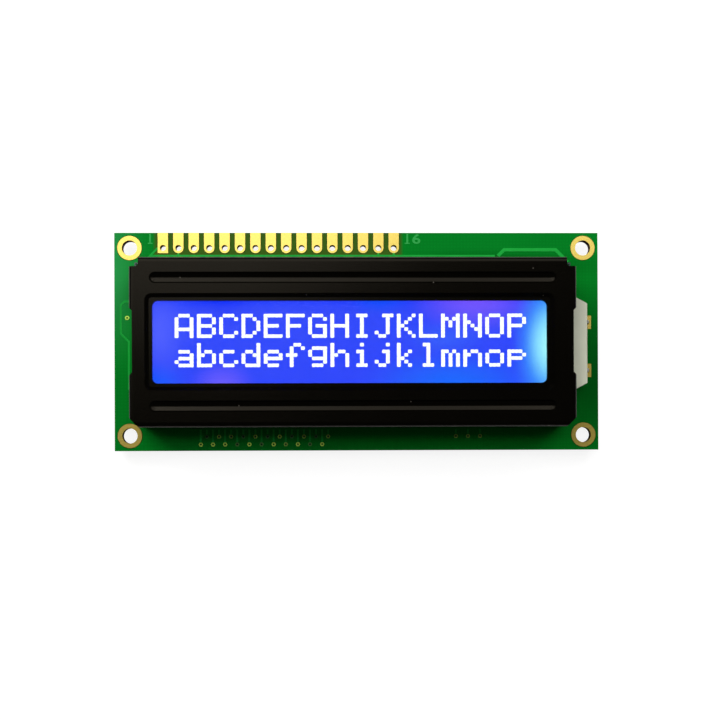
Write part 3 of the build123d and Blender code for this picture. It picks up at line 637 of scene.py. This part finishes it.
# %% Dress the CAD nodes
finish_of = {
    "circuit_board": board_finish,
    "front_tracks": track_finish,
    "header_pads": gold_finish,
    "mounting_rings": gold_finish,
    "backlight_pads": gold_finish,
    "signal_vias": via_finish,
    "bezel": paint_finish,
    "front_polariser": polariser_finish,
    "front_glass": glass_finish,
    "liquid_crystal_film": crystal_finish,
    "cell_seal": made["epoxy_sealant_cured"],
    "fill_port_plug": made["epoxy_sealant_cured"],
    "rear_glass": glass_finish,
    "rear_polariser": made["polarising_film_rear"],
    "upper_contact_strip": made["silicone_rubber_zebra"],
    "lower_contact_strip": made["silicone_rubber_zebra"],
    "diffuser_film": made["polyester_film_white"],
    "reflector_film": made["polyester_film_white"],
    "light_guide": made["acrylic_polished_clear"],
    "backlight_frame": made["polycarbonate_moulded_matt"],
    "led_board": board_finish,
    "side_leds": made["led_package_moulded"],
    "anode_lead": made["tin_plated_bright"],
    "cathode_lead": made["tin_plated_bright"],
    "lead_solder": made["tin_plated_bright"],
    "chip_terminals": made["tin_plated_bright"],
    "controller_blob": made["epoxy_dripped_black_cured"],
    "driver_blob": made["epoxy_dripped_black_cured"],
    "chip_resistors": made["alumina_chip_glazed_black"],
    "chip_capacitors": made["titanate_chip_fired_brown"],
}
for name, finish in finish_of.items():
    nodes[name].data.materials.clear()
    nodes[name].data.materials.append(finish)
print("nodes dressed:", len(finish_of), "of", len(nodes))

# %% [markdown]
# The small things that follow are modelled as by hand, and what repeats is modelled once and copied, each
# copy with its own mesh. A flat chip starts as a plane, which may get softened corners, and is extruded. A
# finished piece lies at the origin with its place in its mesh, as a CAD node does, and rides on the
# module's only body.

# %% Helpers for new pieces
def select_only(things):
    """Deselects everything, then selects these things and makes the first of them active."""
    bpy.ops.object.select_all(action="DESELECT")
    for thing in things:
        thing.select_set(True)
    bpy.context.view_layer.objects.active = things[0]


def flat_chip(middle, width, depth, thickness, corner=0.0):
    """A flat rectangle at a place, extruded upwards to a thin chip."""
    bpy.ops.object.select_all(action="DESELECT")
    bpy.ops.mesh.primitive_plane_add(size=1.0, location=middle)
    chip = bpy.context.object
    chip.scale = (width, depth, 1.0)
    bpy.ops.object.transform_apply(location=True, rotation=True, scale=True)
    bpy.ops.object.mode_set(mode="EDIT")
    bpy.ops.mesh.select_all(action="SELECT")
    if corner > 0:
        bpy.ops.mesh.bevel(offset=corner, segments=2, affect="VERTICES")
        bpy.ops.mesh.select_all(action="SELECT")
    bpy.ops.mesh.extrude_region_move(TRANSFORM_OT_translate={"value": (0, 0, thickness)})
    bpy.ops.mesh.select_all(action="SELECT")
    bpy.ops.mesh.normals_make_consistent(inside=False)
    bpy.ops.object.mode_set(mode="OBJECT")
    return chip


def copies_at(model, places_mm, level):
    """Copies of a model at places in mm on one level. The model itself goes."""
    copies = []
    for x, y in places_mm:
        copy = model.copy()
        copy.data = model.data.copy()
        copy.location = (x * mm, y * mm, level)
        bpy.context.scene.collection.objects.link(copy)
        copies.append(copy)
    bpy.data.objects.remove(model)
    return copies


def join_as(name, things, finish):
    """Joins meshes to one finished piece on the module's only body."""
    select_only(things)
    bpy.ops.object.join()
    piece = bpy.context.object
    piece.name = name
    bpy.ops.object.transform_apply(location=True, rotation=True, scale=True)
    piece.data.materials.clear()
    piece.data.materials.append(finish)
    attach(piece, "root")
    print(name, "faces:", len(piece.data.polygons))
    return piece


print("modelling helpers ready")

# %% [markdown]
# The characters are the cells of the display that let the white light through: a matrix of five by seven
# dots for each place, sixteen places in each of two rows. They show a plain test pattern, the start of the
# alphabet in large and in small letters, which names nothing. The patterns are written as pictures of dots,
# so that they can be read.

# %% Dot patterns
capitals = """
.###. ####. .###. ###.. ##### ##### .###. #...# .###. ..### #...# #.... #...# #...# .###. ####.
#...# #...# #...# #..#. #.... #.... #...# #...# ..#.. ...#. #..#. #.... ##.## #...# #...# #...#
#...# #...# #.... #...# #.... #.... #.... #...# ..#.. ...#. #.#.. #.... #.#.# ##..# #...# #...#
#...# ####. #.... #...# ####. ####. #.### ##### ..#.. ...#. ##... #.... #.#.# #.#.# #...# ####.
##### #...# #.... #...# #.... #.... #...# #...# ..#.. ...#. #.#.. #.... #...# #..## #...# #....
#...# #...# #...# #..#. #.... #.... #...# #...# ..#.. #..#. #..#. #.... #...# #...# #...# #....
#...# ####. .###. ###.. ##### #.... .#### #...# .###. .##.. #...# ##### #...# #...# .###. #....
"""
small_letters = """
..... #.... ..... ....# ..... ..##. ..... #.... ..#.. ...#. #.... .##.. ..... ..... ..... .....
..... #.... ..... ....# ..... .#..# .#### #.... ..... ..... #.... ..#.. ..... ..... ..... .....
.###. #.##. .###. .##.# .###. .#... #...# #.##. .##.. ..##. #..#. ..#.. ##.#. #.##. .###. ####.
....# ##..# #.... #..## #...# ###.. #...# ##..# ..#.. ...#. #.#.. ..#.. #.#.# ##..# #...# #...#
.#### #...# #.... #...# ##### .#... .#### #...# ..#.. ...#. ##... ..#.. #.#.# #...# #...# ####.
#...# #...# #...# #...# #.... .#... ....# #...# ..#.. #..#. #.#.. ..#.. #.#.# #...# #...# #....
.#### ####. .###. .#### .###. .#... .###. #...# .###. .##.. #..#. .###. #.#.# #...# .###. #....
"""
rows_of_dots = [
    [line.split() for line in picture.split("\n") if line]
    for picture in (capitals, small_letters)
]
print("characters in each row:", [len(picture[0]) for picture in rows_of_dots])

# %% [markdown]
# The lit dots are the white of the backlight, which a faint ripple turns a little bluish here and there.
# One dot is modelled, a thin chip with softened corners that fits in the gap between the film and the
# glass, and each lit cell gets a copy.

# %% One dot, then all that are lit
character_pitch_mm = 3.57
row_pitch_mm = 4.70
first_character_mm = -29.4
first_row_mm = 4.0
dot_pitch_mm = (0.60, 0.55)
dot_size_mm = (0.63, 0.575)
dot_corner_mm = 0.14
dot_ripple_mm = 1.4286
dot_light = 2.2
dot_height = (glass_low.z - film_top) * 0.5
dot_level = film_top + dot_height * 0.5

dot_finish, tree, place = new_material("liquid_crystal_dot_open_to_backlight")
tint = mottled(tree, place, dot_ripple_mm, 1.0, "E4F2FF", "FFFFFF")[0]
shader = add_node(tree, "ShaderNodeBsdfPrincipled",
                  {"Base Color": "10182C", "Roughness": 0.5, "Emission Color": tint,
                   "Emission Strength": dot_light})
add_node(tree, "ShaderNodeOutputMaterial", {"Surface": shader.outputs[0]})

lit_places_mm = []
for row, picture in enumerate(rows_of_dots):
    for line, patterns in enumerate(picture):
        y = first_row_mm - row * row_pitch_mm - (line + 0.5) * dot_pitch_mm[1]
        for number, pattern in enumerate(patterns):
            left = first_character_mm + number * character_pitch_mm
            for column, mark in enumerate(pattern):
                if mark == "#":
                    lit_places_mm.append((left + (column + 0.5) * dot_pitch_mm[0], y))
dot = flat_chip((0, 0, 0), dot_size_mm[0] * mm, dot_size_mm[1] * mm, dot_height, dot_corner_mm * mm)
join_as("character_dots", copies_at(dot, lit_places_mm, dot_level), dot_finish)
print("lit dots:", len(lit_places_mm))

# %% [markdown]
# Plain numbers at the two ends of the header row tell the first and the last hole. They are made in the
# copper and show through the mask as raised pale lines. A one is a bar on a short foot, each a flat chip.
# The six is a text object turned into a mesh and scaled to its height.

# %% Pin numbers
ink_height = 0.03 * mm
ink_swell = 0.03 * mm
stem_width_mm = 0.3
foot_thickness_mm = 0.18
number_base_mm = 16.18
number_height_mm = 1.66


def bar(middle_mm, width_mm, base_mm, top_mm):
    """A flat bar that lies on the board."""
    middle = (middle_mm * mm, (base_mm + top_mm) / 2 * mm, board_top)
    return flat_chip(middle, width_mm * mm, (top_mm - base_mm) * mm, ink_height)


def figure_one(stem_mm, foot_width_mm):
    """The bar and the foot of a one whose bar stands at a place along the header row."""
    foot_top_mm = number_base_mm + foot_thickness_mm
    stem = bar(stem_mm, stem_width_mm, foot_top_mm, number_base_mm + number_height_mm)
    foot = bar(stem_mm, foot_width_mm, number_base_mm, foot_top_mm)
    return [stem, foot]


def figure_six(left_mm, width_mm):
    """A six from the plain built-in letters, scaled to its width and height."""
    bpy.ops.object.select_all(action="DESELECT")
    bpy.ops.object.text_add(location=(0, 0, 0))
    number = bpy.context.object
    number.data.body = "6"
    number.data.size = number_height_mm * mm
    number.data.offset = ink_swell
    number.data.extrude = ink_height / 2
    number.data.resolution_u = 3
    bpy.ops.object.convert(target="MESH")
    number = bpy.context.object
    xs = [vertex.co.x for vertex in number.data.vertices]
    ys = [vertex.co.y for vertex in number.data.vertices]
    wider = width_mm * mm / (max(xs) - min(xs))
    taller = number_height_mm * mm / (max(ys) - min(ys))
    number.scale = (wider, taller, 1.0)
    number.location = (left_mm * mm - min(xs) * wider, number_base_mm * mm - min(ys) * taller,
                       board_top + ink_height / 2)
    bpy.ops.object.transform_apply(location=True, rotation=True, scale=True)
    return [number]


number_finish = mottled_finish("copper_figure_under_solder_mask", 0.4, 2.0, ("1C9A3C", "3CB458"),
                               {"Roughness": 0.5, "Specular IOR Level": 0.12})
join_as("pin_number_1", figure_one(-34.1, 0.75), number_finish)
join_as("pin_number_16", figure_one(8.36, 0.85) + figure_six(9.18, 1.36), number_finish)

# %% [markdown]
# The gaps round the pads and the tracks on the back are fine lines on a level face. Each is a thin round
# bar, bent along its run and pressed flat: a curve with a round section, which becomes a mesh.

# %% Lines on a level face
def flat_lines(name, runs_mm, width_mm, level, height):
    """Lines of one width that lie on a level face. Each run is a list of points in mm."""
    data = bpy.data.curves.new(name, "CURVE")
    data.dimensions = "3D"
    data.bevel_depth = width_mm / 2 * mm
    data.bevel_resolution = 1
    data.use_fill_caps = True
    for run in runs_mm:
        spline = data.splines.new("POLY")
        spline.points.add(len(run) - 1)
        for point, (x, y) in zip(spline.points, run):
            point.co = (x * mm, y * mm, 0.0, 1.0)
    lines = bpy.data.objects.new(name, data)
    bpy.context.scene.collection.objects.link(lines)
    select_only([lines])
    bpy.ops.object.convert(target="MESH")
    lines = bpy.context.object
    lines.scale = (1.0, 1.0, height / (width_mm * mm))
    lines.location = (0.0, 0.0, level)
    bpy.ops.object.transform_apply(location=True, rotation=True, scale=True)
    return lines


def arc(centre, radius, start, end, steps):
    """Points on an arc, with its angles in degrees."""
    turns = [math.radians(start + (end - start) * step / steps) for step in range(steps + 1)]
    return [(centre[0] + radius * math.cos(turn), centre[1] + radius * math.sin(turn)) for turn in turns]


print("line helpers ready")

# %% [markdown]
# The mask stops a hair's breadth short of every pad, and the bare laminate shows in that gap as a thin dark
# line. Its inner half hides under the pad. The first header pad is square at its inner end, and the others
# are round.

# %% Dark line round each pad
mask_gap_mm = 0.1
mask_gap_height = 0.02 * mm
ring_place_mm = (37.5, 15.5)
ring_radius_mm = 2.0
first_hole_mm = -32.0
hole_pitch_mm = 2.54
hole_count = 16
hole_row_mm = 15.5
pad_half_width_mm = 0.85
board_edge_mm = 18.0
arc_steps = 16

ring_lines = [
    arc((x, y), ring_radius_mm, 0, 360, 3 * arc_steps)
    for x in (-ring_place_mm[0], ring_place_mm[0])
    for y in (-ring_place_mm[1], ring_place_mm[1])
]
pad_lines = []
for number in range(hole_count):
    x = first_hole_mm + hole_pitch_mm * number
    left = x - pad_half_width_mm
    right = x + pad_half_width_mm
    if number == 0:
        inner_end = [(left, hole_row_mm - pad_half_width_mm), (right, hole_row_mm - pad_half_width_mm)]
    else:
        inner_end = arc((x, hole_row_mm), pad_half_width_mm, 180, 360, arc_steps)
    pad_lines.append([(left, board_edge_mm)] + inner_end + [(right, board_edge_mm)])

bare_laminate = mottled_finish("bare_laminate_in_the_mask_gap", 0.3333, 2.0, ("0C3A08", "2C5A14"),
                               {"Roughness": 0.6, "Specular IOR Level": 0.1})
gap_lines = flat_lines("mask_gap_lines", ring_lines + pad_lines, 2 * mask_gap_mm, board_top,
                       mask_gap_height)
join_as("mask_gap_lines", [gap_lines], bare_laminate)
print("mask gap lines:", len(ring_lines) + len(pad_lines))

# %% [markdown]
# The mask runs into the small vias and fills them, so each has a dark middle. One drop of mask is modelled
# from a small disc, which is extruded and narrowed, and copied to every via. Besides the two long rows
# there are three spare vias at the right of the high row and one beside the left edge. The places repeat
# those of the CAD model.

# %% Mask in the small vias
via_fill_radius_mm = 0.2
via_fill_sides = 12
via_fill_height = 0.055 * mm
via_fill_top_share = 0.7
low_row_mm = -16.95
high_row_mm = -15.67
first_spare_via_mm = 16.3
spare_via_count = 3
lone_via_mm = (-37.9, 3.97)


def round_drop(centre, radius, sides, courses):
    """A disc extruded and narrowed. Each course has its height and its reach as a share of the radius."""
    bpy.ops.object.select_all(action="DESELECT")
    bpy.ops.mesh.primitive_circle_add(vertices=sides, radius=radius, fill_type="NGON", location=centre)
    drop = bpy.context.object
    bpy.ops.object.mode_set(mode="EDIT")
    bpy.ops.mesh.select_all(action="SELECT")
    done_height = 0.0
    done_reach = 1.0
    for height, reach in courses:
        bpy.ops.mesh.extrude_region_move(TRANSFORM_OT_translate={"value": (0, 0, height - done_height)})
        narrower = reach / done_reach
        bpy.ops.transform.resize(value=(narrower, narrower, 1.0), center_override=centre)
        done_height = height
        done_reach = reach
    bpy.ops.mesh.select_all(action="SELECT")
    bpy.ops.mesh.normals_make_consistent(inside=False)
    bpy.ops.object.mode_set(mode="OBJECT")
    bpy.ops.object.transform_apply(location=True, rotation=True, scale=True)
    return drop


low_row_places_mm = [
    (first_via_mm + via_pitch_mm * number, low_row_mm) for number in range(len(low_row_open_shares))
]
high_row_places_mm = [(x + via_pitch_mm / 2, high_row_mm) for x, _ in low_row_places_mm]
spare_places_mm = [
    (first_spare_via_mm + via_pitch_mm * number, high_row_mm) for number in range(spare_via_count)
]
via_places_mm = low_row_places_mm + high_row_places_mm + spare_places_mm + [lone_via_mm]

fill_finish = mottled_finish("solder_mask_pooled_in_vias", 0.5, 1.0, ("002A08", "004410"),
                             {"Roughness": 0.4, "Specular IOR Level": 0.1})
fill = round_drop((0, 0, 0), via_fill_radius_mm * mm, via_fill_sides,
                  [(via_fill_height, via_fill_top_share)])
join_as("via_mask_fill", copies_at(fill, via_places_mm, board_top), fill_finish)
print("filled vias:", len(via_places_mm))

# %% [markdown]
# On the back, two bare chips are sealed under drops of black epoxy, and the backlight's leads end in
# solder. In the CAD model both are faceted. The smooth ones are made by the same helper with more courses,
# downwards: along a quarter of an ellipse for the poured epoxy, and along a hollow curve for the solder,
# which climbs the lead.

# %% Poured epoxy and solder
disc_sides = 48
drop_steps = 9
smooth_below_degrees = 50
epoxy_fullness = 0.7
solder_hollow = 1.8
solder_tip_share = 0.42


def smooth_drop(centre, radius, courses):
    """A round drop with many sides, shaded smooth."""
    drop = round_drop(centre, radius, disc_sides, courses)
    bpy.ops.object.shade_smooth_by_angle(angle=math.radians(smooth_below_degrees))
    return drop


for node_name, piece_name in (("controller_blob", "controller_epoxy"), ("driver_blob", "driver_epoxy")):
    low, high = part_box(node_name)
    middle = Vector(((low.x + high.x) / 2, (low.y + high.y) / 2, high.z))
    turns = [math.pi / 2 * step / (drop_steps + 1) for step in range(1, drop_steps + 1)]
    depth = (high.z - low.z) / math.sin(turns[-1])
    courses = [(-depth * math.sin(turn), math.cos(turn) ** epoxy_fullness) for turn in turns]
    drop = smooth_drop(middle, (high.x - low.x) / 2, courses)
    epoxy = join_as(piece_name, [drop], made["epoxy_dripped_black_cured"])
    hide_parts(node_name)

low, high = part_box("lead_solder")
solder_radius = (high.x - low.x) / 2
shares = [step / drop_steps for step in range(1, drop_steps + 1)]
courses = [
    ((low.z - high.z) * share, solder_tip_share + (1 - solder_tip_share) * (1 - share) ** solder_hollow)
    for share in shares
]
joints = [
    smooth_drop(Vector(((low.x + high.x) / 2, y, high.z)), solder_radius, courses)
    for y in (high.y - solder_radius, low.y + solder_radius)
]
solder = join_as("solder_fillets", joints, made["tin_plated_bright"])
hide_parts("lead_solder")
print("solder joints:", len(joints))

# %% [markdown]
# Under the mask on the back, copper tracks run as a board designer would route them. A bundle leaves the
# middle header pads straight, slants in and enters the first chip side by side. Straight tracks join the
# two chips, and a few loop round below them, with chamfered corners. Their ends hide under the epoxy.

# %% Tracks on the back
rear_track_width_mm = 0.25
rear_track_height = 0.05 * mm
chip_row_mm = -1.0
controller_mm = -17.0
driver_mm = 14.5
bundle_holes = range(3, 14)
bundle_middle_hole = 8
bundle_shift_mm = -2.5
bundle_pitch_mm = 0.75
bundle_start_mm = hole_row_mm - 0.8
bundle_turn_mm = hole_row_mm - 2.0
bundle_turn_step_mm = 0.35
bundle_slant = 0.45
bundle_end_mm = 3.0
straight_pitch_mm = 1.15
straight_steps = (-4, -2, -1, 1, 2, 4)
straight_start_mm = controller_mm + 5.0
straight_end_mm = driver_mm - 4.0
loop_count = 4
loop_pitch_mm = 0.6
loop_inset_mm = 2.0
loop_top_mm = chip_row_mm - 4.0
loop_bottom_mm = chip_row_mm - 8.2
loop_chamfer_mm = 2.2

rear_runs = []
for number in bundle_holes:
    from_middle = number - bundle_middle_hole
    x = first_hole_mm + hole_pitch_mm * number
    target = controller_mm + bundle_shift_mm + from_middle * bundle_pitch_mm
    turn_at = bundle_turn_mm - bundle_turn_step_mm * abs(from_middle)
    slant_end = turn_at - abs(x - target) * bundle_slant
    rear_runs.append([(x, bundle_start_mm), (x, turn_at), (target, slant_end), (target, bundle_end_mm)])
for step in straight_steps:
    y = chip_row_mm + step * straight_pitch_mm
    rear_runs.append([(straight_start_mm, y), (straight_end_mm, y)])
for number in range(loop_count):
    inward = loop_pitch_mm * number
    left = controller_mm + loop_inset_mm + inward
    right = driver_mm - loop_inset_mm - inward
    bottom = loop_bottom_mm - inward
    rear_runs.append([
        (left, loop_top_mm),
        (left, bottom + loop_chamfer_mm),
        (left + loop_chamfer_mm, bottom),
        (right - loop_chamfer_mm, bottom),
        (right, bottom + loop_chamfer_mm),
        (right, loop_top_mm),
    ])
rear_lines = flat_lines("rear_tracks", rear_runs, rear_track_width_mm, board_bottom, rear_track_height)
join_as("rear_tracks", [rear_lines], track_finish)
print("rear tracks:", len(rear_runs))
